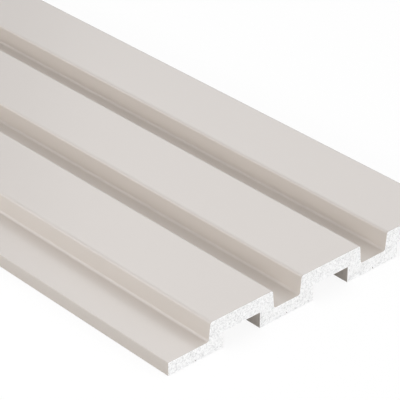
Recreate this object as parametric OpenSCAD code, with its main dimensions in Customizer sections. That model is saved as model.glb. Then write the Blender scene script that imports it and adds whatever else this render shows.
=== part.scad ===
// Slat wall panel: a length of rigid foam moulding with three raised slats.
// The section lies in X and Z with its back on z = 0, and the length runs along Y.
// The left edge is a bare flange. The right-hand slat laps over the flange of the next panel,
// so that a row of panels repeats at the slat pitch without a seam.

/* [Panel] */
// Length of the panel
panel_length = 2700; // [300:50:3000]
// Number of raised slats
slat_count = 3; // [1:1:6]
// Distance from one slat to the next
slat_pitch = 40; // [36:0.5:60]
// Thickness from the back to the face of a slat
panel_thickness = 12; // [10:0.5:20]

/* [Slats] */
// Width of a slat, halfway up its walls
slat_width = 28; // [22:0.5:32]
// Lean of the slat walls, in degrees from upright
wall_draft = 6; // [0:0.5:12]
// Radius of the long edges of a slat's face
face_edge_radius = 1; // [0.3:0.1:2]
// Radius in the corner where a wall meets the groove floor
groove_fillet_radius = 0.9; // [0.3:0.1:2]

/* [Back] */
// Thickness of the groove floor and of the flange
floor_thickness = 5; // [3.5:0.25:6.5]
// Depth of the channel in the back of a slat
channel_depth = 6; // [2:0.25:8]
// Thickness of the legs beside a channel, halfway up the walls
leg_thickness = 6; // [4:0.25:8]
// Width of the V-shaped score line along the middle of a groove's back
score_width = 0.8; // [0.4:0.1:3]
// Depth of the score line
score_depth = 1; // [0.2:0.1:1.5]

/* [Lap joint] */
// Play between the flange's edge and the wall of the channel that it enters
lap_side_play = 0.75; // [0.25:0.25:3]
// Play between the flange's face and the leg that rests over it
lap_seat_play = 0.2; // [0:0.05:0.8]
// Radius of the flange's front edge
flange_edge_radius = 0.4; // [0.1:0.1:1.5]

/* [Hidden] */

// Overrun of every cut past the surface that it opens, and of every fillet into its wall
overrun = 0.5;
// Depth by which a rounding circle bites into the edges that it touches, so that they always cross
bite = 0.0005;
// Sides of a full circle
$fn = 96;

wall_height = panel_thickness - floor_thickness;
wall_middle = floor_thickness + wall_height / 2;
groove_width = slat_pitch - slat_width;
channel_width = slat_width - 2 * leg_thickness;
lap_width = leg_thickness - lap_side_play;
lap_height = floor_thickness + lap_seat_play;
last_slat = slat_count - 1;

// Distance that a slat's wall stands outside its middle width at a height
function lean(height) = (wall_middle - height) * tan(wall_draft);

overall_width = lap_width + slat_count * slat_pitch + lean(lap_height);
flange_edge = -overall_width / 2;

// Places of a slat's two walls, halfway up
function slat_left(i) = flange_edge + lap_width + groove_width + i * slat_pitch;
function slat_right(i) = slat_left(i) + slat_width;

// Corners of one slat's outline, from the foot of its left wall to the foot of its right wall
function slat_corners(i) = [
    [slat_left(i) - lean(floor_thickness), floor_thickness],
    [slat_left(i) - lean(panel_thickness), panel_thickness],
    [slat_right(i) + lean(panel_thickness), panel_thickness],
    [slat_right(i) + lean(floor_thickness), floor_thickness]
];

function reversed(points) = [for (i = [len(points) - 1 : -1 : 0]) points[i]];

function along(angle) = [cos(angle), sin(angle)];

// The nib between a corner and a circle that touches both of its edges, which leave the corner at
// the angles from and to. Taken away it rounds an outer corner, and added it fills an inner one.
module corner_nib(corner, from, to, radius) {
    half_angle = (to - from) / 2;
    middle = (from + to) / 2;
    reach = (radius - bite) / tan(half_angle);
    centre = corner + (radius - bite) / sin(half_angle) * along(middle);
    difference() {
        polygon([
            corner - overrun * along(middle),
            corner + reach * along(from),
            centre,
            corner + reach * along(to)
        ]);
        translate(centre) circle(r = radius);
    }
}

// Front of the panel with square corners, closed along the back plane
module solid_outline() {
    polygon([
        [flange_edge, 0],
        [slat_right(last_slat) + lean(floor_thickness), 0],
        for (i = [last_slat : -1 : 0]) each reversed(slat_corners(i)),
        [flange_edge, floor_thickness]
    ]);
}

module groove_fillets() {
    for (i = [0 : last_slat]) {
        corners = slat_corners(i);
        corner_nib(corners[0], 90 - wall_draft, 180, groove_fillet_radius);
        if (i < last_slat) corner_nib(corners[3], 0, 90 + wall_draft, groove_fillet_radius);
    }
}

module face_edge_rounds() {
    for (i = [0 : last_slat]) {
        corners = slat_corners(i);
        corner_nib(corners[1], 270 - wall_draft, 360, face_edge_radius);
        corner_nib(corners[2], 180, 270 + wall_draft, face_edge_radius);
    }
    corner_nib([flange_edge, floor_thickness], 270, 360, flange_edge_radius);
}

// Channels that lighten the back of each slat
module back_channels() {
    for (i = [0 : last_slat])
        translate([slat_left(i) + leg_thickness, -overrun])
            square([channel_width, channel_depth + overrun]);
}

// Score lines that guide a knife along the middle of each groove. Below the back they run on at
// the same slope.
module score_lines() {
    half_mouth = score_width / 2 * (1 + overrun / score_depth);
    for (i = [0 : last_slat])
        translate([slat_left(i) - groove_width / 2, 0])
            polygon([[-half_mouth, -overrun], [half_mouth, -overrun], [0, score_depth]]);
}

// Room under the last slat's right leg for the next panel's flange
module lap_recess() {
    translate([slat_right(last_slat) - leg_thickness - overrun, -overrun])
        square([leg_thickness + lean(0) + 2 * overrun, lap_height + overrun]);
}

module panel_section() {
    difference() {
        union() {
            solid_outline();
            groove_fillets();
        }
        face_edge_rounds();
        back_channels();
        score_lines();
        lap_recess();
    }
}

// The whole panel, centred over the origin with its back on z = 0
module slat_panel() {
    color("#d9d4d0")
        translate([0, panel_length / 2, 0])
            rotate([90, 0, 0])
                linear_extrude(height = panel_length)
                    panel_section();
}

slat_panel();
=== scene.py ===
"""A slat wall panel of foamed polystyrene, lying on a white studio floor with its face up.

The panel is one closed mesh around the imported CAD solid's own section. The section is a band
between a front path and a back path, which are matched corner by corner. It is carried along the
length, and the grid that fills the band closes the two sawn ends.
"""

import math

import bpy
import numpy as np
from bpy.props import (
    FloatProperty,
    FloatVectorProperty,
    IntProperty,
    PointerProperty,
)
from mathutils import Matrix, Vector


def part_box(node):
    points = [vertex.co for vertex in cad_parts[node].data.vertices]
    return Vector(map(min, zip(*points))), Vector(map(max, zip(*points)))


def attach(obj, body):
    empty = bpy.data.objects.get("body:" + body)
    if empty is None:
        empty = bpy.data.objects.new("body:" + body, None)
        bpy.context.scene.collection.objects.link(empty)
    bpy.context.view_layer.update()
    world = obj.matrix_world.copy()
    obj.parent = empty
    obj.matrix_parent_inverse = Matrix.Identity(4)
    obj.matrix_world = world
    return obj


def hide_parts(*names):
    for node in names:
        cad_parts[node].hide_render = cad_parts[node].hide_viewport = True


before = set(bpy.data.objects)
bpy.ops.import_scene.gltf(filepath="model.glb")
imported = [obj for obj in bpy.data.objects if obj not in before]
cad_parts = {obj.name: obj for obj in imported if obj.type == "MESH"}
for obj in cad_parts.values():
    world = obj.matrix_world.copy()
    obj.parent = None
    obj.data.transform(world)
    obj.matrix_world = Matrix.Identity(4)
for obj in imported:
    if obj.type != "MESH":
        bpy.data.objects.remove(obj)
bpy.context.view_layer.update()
CAD_LOW, CAD_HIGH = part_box("slat_panel")

bl_info = {
    "name": "Slat wall panel",
    "version": (1, 0, 0),
    "blender": (4, 5, 0),
    "location": "3D View > Sidebar > Slat Panel",
    "description": "Builds a slat wall panel with its skin, its sawn foam ends and a studio",
    "category": "Add Mesh",
}

MM = 0.001

# How far the wall behind the panel goes on beside it, when the shelter that sets the skin's
# painted shade is worked out
FAR = 10.0
# Edges of the mesh that turn by more than this stay sharp
SHARP_ANGLE = math.radians(35)

# Repeats in a metre of the skin's draw lines, of its grain and of its mottle
LINE_SCALE = 900
GRAIN_SCALE = 1400
MOTTLE_SCALE = 22
# How far the mottle moves the skin's colour, as a share of it, and its roughness
MOTTLE_SHADE = 0.015
MOTTLE_ROUGHNESS = 0.03
# Repeats in a metre of the foam's fine cells and of the grain inside them
CELL_SCALE = 2300
CELL_GRAIN_SCALE = 3000
# Height of the relief that each bump stands for
SKIN_RELIEF = 0.02 * MM
FOAM_RELIEF = 0.08 * MM

WHITE = (1, 1, 1)
# Width of the camera's sensor in millimetres, for which the lens is given
SENSOR_WIDTH = 36
# Distance from the floor's middle to its sides, and its drop below the panel's back
FLOOR_REACH = 8.0
FLOOR_DROP = 0.2 * MM
# How much of the floor that the camera sees is plain white, and not lit by the lamps
FLOOR_GLOW = 0.9
# Points that the lamps face, at the panel's near end and at its far end
NEAR_END = (0, -1.25, 0)
FAR_END = (0, 1.35, 0)


def length_property(name, description, default):
    """A length in metres that the sidebar shows in the scene's units."""
    return FloatProperty(
        name=name,
        description=description,
        default=default,
        min=0.0,
        subtype="DISTANCE",
        unit="LENGTH",
        precision=5,
    )


def colour_property(name, description, default):
    """A linear colour."""
    return FloatVectorProperty(
        name=name,
        description=description,
        default=default,
        min=0.0,
        max=1.0,
        size=3,
        subtype="COLOR",
    )


class SectionSizes(bpy.types.PropertyGroup):
    """Sizes of the panel, with the CAD part's own values as defaults"""

    length: length_property(
        "Length", "Length of the panel", CAD_HIGH.y - CAD_LOW.y
    )
    thickness: length_property(
        "Thickness", "From the back to the slats' faces", CAD_HIGH.z - CAD_LOW.z
    )
    overall_width: length_property(
        "Overall width", "From the flange's edge to the lapping leg", CAD_HIGH.x - CAD_LOW.x
    )
    slat_count: IntProperty(
        name="Slats", description="Number of raised slats", default=3, min=1, max=6
    )
    slat_pitch: length_property("Slat pitch", "From one slat to the next", 40 * MM)
    slat_width: length_property(
        "Slat width", "Width of a slat halfway up its walls", 28 * MM
    )
    wall_draft: FloatProperty(
        name="Wall lean",
        description="Lean of the slat walls from upright",
        default=math.radians(6),
        subtype="ANGLE",
        unit="ROTATION",
    )
    face_edge_radius: length_property(
        "Face edge radius", "Radius of the long edges of a slat's face", 1 * MM
    )
    groove_fillet_radius: length_property(
        "Groove fillet radius", "Radius at the foot of a slat's wall", 0.9 * MM
    )
    floor_thickness: length_property(
        "Floor thickness", "Thickness of the groove floor and the flange", 5 * MM
    )
    channel_depth: length_property(
        "Channel depth", "Depth of the channel behind a slat", 6 * MM
    )
    leg_thickness: length_property(
        "Leg thickness", "Thickness of the legs beside a channel", 6 * MM
    )
    score_width: length_property(
        "Score width", "Width of the score line behind a groove", 0.8 * MM
    )
    score_depth: length_property("Score depth", "Depth of the score line", 1 * MM)
    lap_side_play: length_property(
        "Lap side play", "Play beside a flange in the lap recess", 0.75 * MM
    )
    lap_seat_play: length_property(
        "Lap seat play", "Play over a flange in the lap recess", 0.2 * MM
    )
    flange_edge_radius: length_property(
        "Flange edge radius", "Radius of the flange's front edge", 0.4 * MM
    )


class FinishSizes(bpy.types.PropertyGroup):
    """Colours and grain of the skin and of the foam"""

    skin_colour: colour_property(
        "Skin colour", "Warm light grey of the skin", (0.597, 0.557, 0.529)
    )
    # Painted shade: a darker, warmer copy of the skin's colour that stands for the shade in the
    # grooves and on the walls beside them
    hollow_colour: colour_property(
        "Painted shade colour",
        "Warmer grey of the skin in the grooves and on the walls beside them",
        (0.597, 0.547, 0.503),
    )
    # How much of the sky the section must hide before the skin has its full painted shade
    hollow_share: FloatProperty(
        name="Painted shade share",
        description="Share of the sky that is hidden where the skin has its full hollow colour",
        default=0.4,
        min=0.1,
        max=1.0,
    )
    skin_roughness: FloatProperty(
        name="Skin roughness",
        description="Roughness of the satin skin",
        default=0.20,
        min=0.05,
        max=1.0,
    )
    foam_colour: colour_property(
        "Foam colour", "White of the sawn foam", (0.98, 0.98, 0.98)
    )
    foam_cell: length_property(
        "Foam cell", "Spacing of the cells that the saw has opened", 0.7 * MM
    )
    pit_depth: length_property(
        "Pit depth", "Depth of the deepest opened cell", 0.14 * MM
    )
    mesh_step: length_property(
        "Mesh step", "Spacing of the mesh across the section", 0.28 * MM
    )
    skin_gauge: length_property(
        "Skin gauge", "Thickness of the skin at the sawn ends", 0.12 * MM
    )


class StudioSettings(bpy.types.PropertyGroup):
    """Camera and light"""

    camera_place: FloatVectorProperty(
        name="Camera place",
        description="Where the camera stands",
        default=(-0.415815, -1.753721, 0.383168),
        size=3,
        subtype="TRANSLATION",
        unit="LENGTH",
    )
    camera_heading: FloatProperty(
        name="Camera heading",
        description="Turn of the camera from the panel's length",
        default=math.radians(42.2236),
        subtype="ANGLE",
        unit="ROTATION",
    )
    camera_dip: FloatProperty(
        name="Camera dip",
        description="How far the camera looks down",
        default=math.radians(30.8017),
        subtype="ANGLE",
        unit="ROTATION",
    )
    lens: FloatProperty(
        name="Lens", description="Focal length on a 36 mm sensor", default=190.7147
    )
    sky_level: FloatProperty(
        name="Sky level",
        description="Strength of the even light all around",
        default=0.37,
    )
    floor_colour: colour_property(
        "Floor colour", "Colour of the floor that lights the panel", (0.60, 0.60, 0.60)
    )


# The mesh


def front_and_back_corners(s):
    """Matched corners of the section, from the flange's edge to the lapping leg.

    Each row holds the front corner's x and z, the radius that rounds it, and the back corner's
    x and z. A wall leans by the tangent of its draft times the height from its middle. The score
    line's three corners have plain points of the groove floor over them.
    """
    middle = (s.thickness + s.floor_thickness) / 2

    def lean(height):
        return (middle - height) * math.tan(s.wall_draft)

    edge = -s.overall_width / 2
    lap_width = s.leg_thickness - s.lap_side_play
    lap_height = s.floor_thickness + s.lap_seat_play
    groove = s.slat_pitch - s.slat_width
    floor, face = s.floor_thickness, s.thickness
    rows = [
        (edge, floor - s.flange_edge_radius, 0, edge, 0),
        (edge, floor, s.flange_edge_radius, edge + s.flange_edge_radius / 2, 0),
    ]
    for i in range(s.slat_count):
        left = edge + lap_width + groove + i * s.slat_pitch
        right = left + s.slat_width
        score = left - groove / 2
        inner_left, inner_right = left + s.leg_thickness, right - s.leg_thickness
        for side, depth in ((-0.5, 0), (0, s.score_depth), (0.5, 0)):
            x = score + side * s.score_width
            rows.append((x, floor, 0, x, depth))
        rows += [
            (left - lean(floor), floor, s.groove_fillet_radius, inner_left, 0),
            (left - lean(face), face, s.face_edge_radius, inner_left, s.channel_depth),
            (right + lean(face), face, s.face_edge_radius, inner_right, s.channel_depth),
        ]
        if i < s.slat_count - 1:
            rows.append(
                (right + lean(floor), floor, s.groove_fillet_radius, inner_right, 0)
            )
    rows.append((right + lean(lap_height), lap_height, 0, inner_right, lap_height))
    return np.array(rows)


def unit(vector):
    """The vector divided by its length."""
    return vector / np.linalg.norm(vector)


def run_shares(run, reach_before, reach_after, step, arc_steps):
    """Shares of a straight run, from 0 up to but not including 1, close together in its roundings.

    The run is cut where its roundings end. Each rounding has arc_steps equal parts, and the
    straight stretch between them has parts of up to one step. A stretch of no length is left out.
    """
    stops = (0, reach_before / run, max(0, 1 - reach_after / run), 1)
    counts = (arc_steps, math.ceil((stops[2] - stops[1]) * run / step), arc_steps)
    parts = [
        np.linspace(a, b, n, endpoint=False)
        for a, b, n in zip(stops[:-1], stops[1:], counts)
        if b - a > 1e-4
    ]
    return np.concatenate(parts)


def section_paths(sizes, step, arc_steps=6):
    """The front path and the back path of the section, as two arrays of matched points.

    Both run straight from corner to corner, with the same share of each run at each sample. Then
    each front sample within reach of a rounded corner moves along its ray from the centre of the
    rounding circle until it is one radius away:
    point = centre + radius * (point - centre) / |point - centre|.
    """
    rows = front_and_back_corners(sizes)
    front, radii, back = rows[:, 0:2], rows[:, 2], rows[:, 3:5]
    centres, reaches = np.zeros_like(front), np.zeros_like(radii)
    for k in np.flatnonzero(radii):
        before, after = unit(front[k - 1] - front[k]), unit(front[k + 1] - front[k])
        half_angle = math.acos(float(before @ after)) / 2
        reaches[k] = radii[k] / math.tan(half_angle)
        centres[k] = front[k] + radii[k] / math.sin(half_angle) * unit(before + after)
    fronts, backs = [], []
    for k in range(len(rows) - 1):
        run = np.linalg.norm(front[k + 1] - front[k])
        share = run_shares(run, reaches[k], reaches[k + 1], step, arc_steps)[:, None]
        points = front[k] + share * (front[k + 1] - front[k])
        for c, gap in ((k, share[:, 0] * run), (k + 1, (1 - share[:, 0]) * run)):
            near = (gap < reaches[c]) & (radii[c] > 0)
            ray = points[near] - centres[c]
            points[near] = centres[c] + radii[c] * ray / np.linalg.norm(
                ray, axis=1, keepdims=True
            )
        fronts.append(points)
        backs.append(back[k] + share * (back[k + 1] - back[k]))
    return (
        np.concatenate([*fronts, front[-1:]]),
        np.concatenate([*backs, back[-1:]]),
    )


def shelter(path):
    """The share of the open side that the section itself hides from each point of a path.

    The path has the open side on its left. From a point in a profile that runs on without an
    end, the open share is (sin(b) - sin(a)) / 2, where a and b are the angles from the surface's
    normal to the horizon before and after the point.
    """
    along = np.gradient(path, axis=0)
    along /= np.linalg.norm(along, axis=1, keepdims=True)
    outward = np.stack([-along[:, 1], along[:, 0]], 1)
    ray = path[None] - path[:, None]
    ray /= np.linalg.norm(ray, axis=2, keepdims=True) + 1e-9
    above = np.einsum("ijk,ik->ij", ray, outward) > 0.01
    sine = np.einsum("ijk,ik->ij", ray, along)
    before = np.tri(len(path), k=-1, dtype=bool)
    sine_a = np.where(above & before, sine, -1).max(axis=1)
    sine_b = np.where(above & before.T, sine, 1).min(axis=1)
    return 1 - (sine_b - sine_a) / 2


def hollow_colour_shares(front, back, full_share):
    """How far the skin has its hollow colour along the front path and the back path, from 0 to 1.

    It is the sheltered share divided by full_share, and at most 1, and it sets how far the skin
    is painted in its darker, warmer shade colour. On the front, the wall that the panel is fixed
    to shelters it as well, so that path starts and ends far out on the wall.
    """
    before = [(-FAR, 0), (front[0, 0], 0)]
    after = [(front[-1, 0], 0), (FAR, 0)]
    front_hidden = shelter(np.concatenate([before, front, after]))[2:-2]
    back_hidden = shelter(back[::-1])[::-1]
    return [np.minimum(1, hidden / full_share) for hidden in (front_hidden, back_hidden)]


def chance(i, k, seed):
    """A number from 0 to 1 for each whole-number cell: the fraction of a large sine."""
    return np.modf(np.abs(np.sin(i * 127.1 + k * 311.7 + seed * 74.7)) * 43758.5453)[0]


def pits(x, z, cell, seed):
    """How deep a sawn pit is at each point, from 0 to 1.

    The plane is cut into square cells. Each cell has a round pit at a chance place, with a
    chance size from 0 to 1. Its radius is 0.2 + 0.35 * size of a cell's side, and the depth in
    it is size ** 2 * (1 - (distance / radius) ** 2).
    """
    depth = np.zeros_like(x)
    column, row = np.floor(x / cell), np.floor(z / cell)
    for di in (-1, 0, 1):
        for dk in (-1, 0, 1):
            i, k = column + di, row + dk
            far = np.hypot(
                x - (i + chance(i, k, seed)) * cell, z - (k + chance(i, k, seed + 1)) * cell
            )
            size = chance(i, k, seed + 2)
            radius = cell * (0.2 + 0.35 * size)
            depth = np.maximum(depth, size**2 * (1 - (far / radius) ** 2))
    return depth


def sawn_pits(x, z, cell, seed):
    """Pits of one cell's spacing, and shallower ones of about half that spacing between them."""
    return np.maximum(pits(x, z, cell, seed), 0.6 * pits(x, z, 0.55 * cell, seed + 5))


def panel_arrays(sizes, finish, stations=24):
    """Points, faces, material numbers, pit depths and hollow shares of the closed panel.

    A point of the section band is P(s, t) = (1 - t) * back(s) + t * front(s). The two ends are
    the whole band at the first and the last station, sunk by the pits away from the band's rim.
    There the skin shows along the front path. The sides are the rim, carried along the length
    from station to station. A hollow share, the painted shade, is how far the skin has its
    darker, warmer shade colour where the section shelters it.
    """
    front, back = section_paths(sizes, finish.mesh_step)
    half = sizes.length / 2
    skin_share = finish.skin_gauge / sizes.floor_thickness
    rows = max(4, round(sizes.floor_thickness / finish.mesh_step))
    t = np.concatenate([[0], np.linspace(skin_share, 1 - skin_share, rows), [1]])
    band = (1 - t[None, :, None]) * back[:, None] + t[None, :, None] * front[:, None]
    across, through = band.shape[:2]
    grid = np.arange(across * through).reshape(across, through)
    rim = np.concatenate(
        [grid[:, -1], grid[-1, -2:0:-1], grid[::-1, 0], grid[0, 1:-1]]
    )
    x, z = band[..., 0].ravel(), band[..., 1].ravel()
    # The painted shade: how far the skin takes its darker, warmer shade colour at each point
    on_front, on_back = hollow_colour_shares(front, back, finish.hollow_share)
    hollow = np.where(t[None] > 0, on_front[:, None], on_back[:, None]).ravel()

    inside = np.zeros((across, through), bool)
    inside[2:-2, 2:-2] = True
    points, depths = [], []
    for y, inward, seed in ((-half, 1, 3), (half, -1, 11)):
        depth = sawn_pits(x, z, finish.foam_cell, seed) * inside.ravel()
        points.append(np.stack([x, y + inward * finish.pit_depth * depth, z], 1))
        depths.append(depth)
    places = np.linspace(-half, half, stations)[1:-1]
    loops = np.stack(
        [
            np.tile(x[rim], len(places)),
            np.repeat(places, len(rim)),
            np.tile(z[rim], len(places)),
        ],
        1,
    )
    vertices = np.concatenate([points[0], points[1], loops])
    pit = np.concatenate([*depths, np.zeros(len(loops))])
    hollow = np.concatenate([hollow, hollow, np.tile(hollow[rim], len(places))])

    between = 2 * grid.size + np.arange(len(loops)).reshape(len(places), len(rim))
    rings = np.concatenate([rim[None], between, grid.size + rim[None]])
    turned = np.roll(rings, -1, axis=1)
    sides = np.stack([rings[:-1], turned[:-1], turned[1:], rings[1:]], -1).reshape(-1, 4)
    near_end = np.stack([grid[:-1, :-1], grid[1:, :-1], grid[1:, 1:], grid[:-1, 1:]], -1)
    far_end = near_end[..., ::-1] + grid.size

    middle = (front[:-1, 0] + front[1:, 0] + back[:-1, 0] + back[1:, 0]) / 4
    foam = np.ones(near_end.shape[:2], bool)
    foam[:, -1] = False
    foam[-1] = False
    foam[middle - x.min() < finish.skin_gauge] = False
    foam = foam.ravel().astype(int)
    faces = np.concatenate([sides, near_end.reshape(-1, 4), far_end.reshape(-1, 4)])
    material = np.concatenate([np.zeros(len(sides), int), foam, foam])
    return vertices, faces, material, pit, hollow


def mesh_object(name, vertices, faces):
    """A mesh object of these points and faces, at the origin."""
    mesh = bpy.data.meshes.new(name)
    mesh.from_pydata(vertices.tolist(), [], faces.tolist())
    made = bpy.data.objects.new(name, mesh)
    bpy.context.scene.collection.objects.link(made)
    return made


# The materials


class Value:
    """A socket of a node tree. Python arithmetic on it adds Math nodes."""

    def __init__(self, shader, socket):
        self.shader = shader
        self.socket = socket

    def math(self, operation, *values):
        return self.shader.node("ShaderNodeMath", {"operation": operation}, values)

    def __add__(self, other):
        return self.math("ADD", self, other)

    __radd__ = __add__

    def __mul__(self, other):
        return self.math("MULTIPLY", self, other)

    __rmul__ = __mul__

    def __sub__(self, other):
        return self.math("SUBTRACT", self, other)

    def __rsub__(self, other):
        return self.math("SUBTRACT", other, self)


class Shader:
    """One material's or world's node tree, emptied, with one method that adds any node."""

    def __init__(self, owner):
        owner.use_nodes = True
        self.tree = owner.node_tree
        self.tree.nodes.clear()

    def node(self, kind, settings=None, values=(), output=0):
        """Adds a node: its settings first, then its sockets by place or by name."""
        made = self.tree.nodes.new(kind)
        for key, setting in (settings or {}).items():
            setattr(made, key, setting)
        named = values.items() if isinstance(values, dict) else enumerate(values)
        for key, value in named:
            socket = made.inputs[key]
            if isinstance(value, Value):
                self.tree.links.new(value.socket, socket)
            elif value is not None:
                socket.default_value = value
        return Value(self, made.outputs[output]) if made.outputs else None

    def mix_colour(self, factor, low, high):
        """The colour that goes from low to high with the factor."""
        low, high = [c if isinstance(c, Value) else (*c, 1) for c in (low, high)]
        return self.node(
            "ShaderNodeMix", {"data_type": "RGBA"}, {0: factor, 6: low, 7: high}, output=2
        )

    def end(self, surface, kind="ShaderNodeOutputMaterial"):
        """Links the finished surface to the tree's output."""
        self.node(kind, None, {"Surface": surface})


def scaled(colour, factor):
    """The colour times a factor, and at most 1."""
    return tuple(min(1.0, c * factor) for c in colour)


def skin_material(finish):
    """Satin moulded skin: fine grain, faint lines along the length, and a hardly seen mottle.

    Its colour is painted a little warmer and darker where the section shelters it, in the grooves
    and on the walls: painted shade.
    """
    material = bpy.data.materials.new("greige_skin")
    s = Shader(material)
    place = s.node("ShaderNodeTexCoord", output="Object")
    drawn = s.node("ShaderNodeMapping", None, {"Vector": place, "Scale": (1, 0.02, 1)})
    lines = s.node(
        "ShaderNodeTexNoise", None, {"Vector": drawn, "Scale": LINE_SCALE, "Detail": 2}
    )
    grain = s.node(
        "ShaderNodeTexNoise", None, {"Vector": place, "Scale": GRAIN_SCALE, "Detail": 3}
    )
    mottle = s.node(
        "ShaderNodeTexNoise", None, {"Vector": place, "Scale": MOTTLE_SCALE, "Detail": 4}
    )
    open_colour, hollow_colour = [
        s.mix_colour(
            mottle, scaled(colour, 1 - MOTTLE_SHADE), scaled(colour, 1 + MOTTLE_SHADE)
        )
        for colour in (finish.skin_colour, finish.hollow_colour)
    ]
    # Painted shade: the colour goes to the darker, warmer shade colour where the section hides the
    # sky
    hollow = s.node("ShaderNodeAttribute", {"attribute_name": "hollow"}, output="Fac")
    colour = s.mix_colour(hollow, open_colour, hollow_colour)
    roughness = finish.skin_roughness - MOTTLE_ROUGHNESS + 2 * MOTTLE_ROUGHNESS * mottle
    bump = s.node(
        "ShaderNodeBump",
        None,
        {"Strength": 0.25, "Distance": SKIN_RELIEF, "Height": 0.5 * lines + 0.5 * grain},
    )
    s.end(
        s.node(
            "ShaderNodeBsdfPrincipled",
            None,
            {"Base Color": colour, "Roughness": roughness, "IOR": 1.5, "Normal": bump},
        )
    )
    return material


def foam_material(finish):
    """Sawn white foam: opened cells that the mesh has as pits, and finer cells between them."""
    material = bpy.data.materials.new("sawn_foam")
    s = Shader(material)
    place = s.node("ShaderNodeTexCoord", output="Object")
    pit = s.node("ShaderNodeAttribute", {"attribute_name": "pit"}, output="Fac")
    cell_centre, cell_tint = [
        s.node("ShaderNodeTexVoronoi", None, {"Vector": place, "Scale": CELL_SCALE}, output=k)
        for k in ("Distance", "Color")
    ]
    cell_shade = s.node("ShaderNodeSeparateColor", None, [cell_tint])
    grain = s.node(
        "ShaderNodeTexNoise", None, {"Vector": place, "Scale": CELL_GRAIN_SCALE, "Detail": 2}
    )
    # The pits are painted darker by their depth: painted shade. The cells' random tone and the
    # grain are the foam's own.
    shade = 0.6 * pit + 0.5 * cell_shade * cell_shade + 0.1 * grain
    colour = s.mix_colour(shade, finish.foam_colour, scaled(finish.foam_colour, 0.6))
    bump = s.node(
        "ShaderNodeBump",
        None,
        {"Strength": 0.5, "Distance": FOAM_RELIEF, "Height": grain - 0.5 * cell_centre},
    )
    s.end(
        s.node(
            "ShaderNodeBsdfPrincipled",
            None,
            {"Base Color": colour, "Roughness": 0.85, "IOR": 1.45, "Normal": bump},
        )
    )
    return material


# The operators


class SLATWALL_OT_panel(bpy.types.Operator):
    """Make the panel with its skin and its sawn ends"""

    bl_idname = "slatwall.panel"
    bl_label = "Panel"

    def execute(self, context):
        sizes, finish = context.scene.slatwall_section, context.scene.slatwall_finish
        vertices, faces, material, pit, hollow = panel_arrays(sizes, finish)
        panel = mesh_object("slat_wall_panel", vertices, faces)
        mesh = panel.data
        mesh.materials.append(skin_material(finish))
        mesh.materials.append(foam_material(finish))
        mesh.polygons.foreach_set("material_index", material.astype(np.int32))
        # The pits' depths for the foam, and the amount of the skin's painted shade
        for name, values in (("pit", pit), ("hollow", hollow)):
            mesh.attributes.new(name, "FLOAT", "POINT").data.foreach_set("value", values)
        mesh.shade_smooth()
        mesh.set_sharp_from_angle(angle=SHARP_ANGLE)
        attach(panel, "root")
        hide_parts("slat_panel")
        return {"FINISHED"}


def softbox(name, target, heading, height, distance, width, depth, radiance):
    """A rectangular lamp that faces its target from a heading and a height, in degrees.

    Its power is the radiance times pi times its area.
    """
    data = bpy.data.lights.new(name, "AREA")
    data.shape = "RECTANGLE"
    data.size, data.size_y = width, depth
    data.energy = radiance * math.pi * width * depth
    lamp = bpy.data.objects.new(name, data)
    turn, lift = math.radians(heading), math.radians(height)
    lamp.location = (
        target[0] + distance * math.sin(turn) * math.cos(lift),
        target[1] + distance * math.cos(turn) * math.cos(lift),
        target[2] + distance * math.sin(lift),
    )
    lamp.rotation_euler = (math.radians(90) - lift, 0, math.pi - turn)
    bpy.context.scene.collection.objects.link(lamp)
    return lamp


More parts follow.
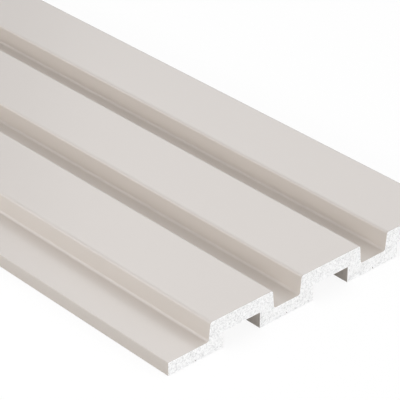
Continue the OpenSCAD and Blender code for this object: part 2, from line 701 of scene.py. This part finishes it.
class SLATWALL_OT_studio(bpy.types.Operator):
    """Make the camera, the floor and the light"""

    bl_idname = "slatwall.studio"
    bl_label = "Studio"

    def execute(self, context):
        scene, studio = context.scene, context.scene.slatwall_studio
        scene.view_settings.view_transform = "Standard"

        data = bpy.data.cameras.new("camera")
        data.lens, data.sensor_width = studio.lens, SENSOR_WIDTH
        data.clip_start, data.clip_end = 0.01, 100
        camera = bpy.data.objects.new("camera", data)
        camera.location = studio.camera_place
        camera.rotation_euler = (
            math.radians(90) - studio.camera_dip,
            0,
            -studio.camera_heading,
        )
        scene.collection.objects.link(camera)
        scene.camera = camera

        corners = [(-1, -1), (1, -1), (1, 1), (-1, 1)]
        floor = mesh_object(
            "studio_floor",
            np.array([(x * FLOOR_REACH, y * FLOOR_REACH, -FLOOR_DROP) for x, y in corners]),
            np.array([(0, 1, 2, 3)]),
        )
        material = bpy.data.materials.new("studio_floor")
        s = Shader(material)
        seen = s.node("ShaderNodeLightPath", output="Is Camera Ray")
        colour = s.mix_colour(seen, studio.floor_colour, WHITE)
        plain = s.node("ShaderNodeBsdfDiffuse", None, {"Color": colour})
        glow = s.node("ShaderNodeEmission", None, {"Strength": 1.0})
        s.end(s.node("ShaderNodeMixShader", None, (FLOOR_GLOW * seen, plain, glow)))
        floor.data.materials.append(material)

        world = bpy.data.worlds.new("studio_sky")
        scene.world = world
        s = Shader(world)
        camera_ray, glossy_ray, through_ray = [
            s.node("ShaderNodeLightPath", output=f"Is {name} Ray")
            for name in ("Camera", "Glossy", "Transmission")
        ]
        direct = (camera_ray + glossy_ray) + through_ray
        even, white = [
            s.node("ShaderNodeBackground", None, {"Color": (*WHITE, 1), "Strength": level})
            for level in (studio.sky_level, 1.0)
        ]
        s.end(
            s.node("ShaderNodeMixShader", None, (direct, even, white)),
            "ShaderNodeOutputWorld",
        )

        # Target, heading, height, distance, width, depth and radiance
        softbox("left_softbox", NEAR_END, -86, 44, 0.62, 0.38, 0.46, 2.45)
        softbox("left_strip", NEAR_END, -46, 20, 1.5, 0.7, 0.24, 5.3)
        softbox("camera_softbox", NEAR_END, -140, 14, 2.5, 1.6, 0.7, 4.85)
        softbox("right_softbox", NEAR_END, 155, 24, 2.5, 3.0, 1.6, 2.05)
        softbox("far_softbox", NEAR_END, 53, 39, 5, 2.5, 2.5, 1.0)
        softbox("over_softbox", NEAR_END, 90, 60, 2.5, 3.0, 1.0, 0.95)
        softbox("far_end_softbox", FAR_END, 25, 12, 1.2, 1.2, 0.5, 6.5)
        return {"FINISHED"}


class SLATWALL_PT_sidebar(bpy.types.Panel):
    """Lists the operators and the sizes"""

    bl_idname = "SLATWALL_PT_sidebar"
    bl_label = "Slat Panel"
    bl_space_type = "VIEW_3D"
    bl_region_type = "UI"
    bl_category = "Slat Panel"

    def draw(self, context):
        layout, scene = self.layout, context.scene
        for operator in (SLATWALL_OT_studio, SLATWALL_OT_panel):
            layout.operator(operator.bl_idname)
        for group in (scene.slatwall_section, scene.slatwall_finish, scene.slatwall_studio):
            box = layout.box()
            for name in group.bl_rna.properties.keys():
                if name not in ("rna_type", "name"):
                    box.prop(group, name)


CLASSES = (
    SectionSizes,
    FinishSizes,
    StudioSettings,
    SLATWALL_OT_studio,
    SLATWALL_OT_panel,
    SLATWALL_PT_sidebar,
)
SETTINGS = {
    "slatwall_section": SectionSizes,
    "slatwall_finish": FinishSizes,
    "slatwall_studio": StudioSettings,
}


def register():
    for cls in CLASSES:
        bpy.utils.register_class(cls)
    for name, group in SETTINGS.items():
        setattr(bpy.types.Scene, name, PointerProperty(type=group))


def unregister():
    for name in SETTINGS:
        delattr(bpy.types.Scene, name)
    for cls in reversed(CLASSES):
        bpy.utils.unregister_class(cls)


def main():
    register()
    bpy.ops.slatwall.studio()
    bpy.ops.slatwall.panel()


if __name__ == "__main__":
    main()
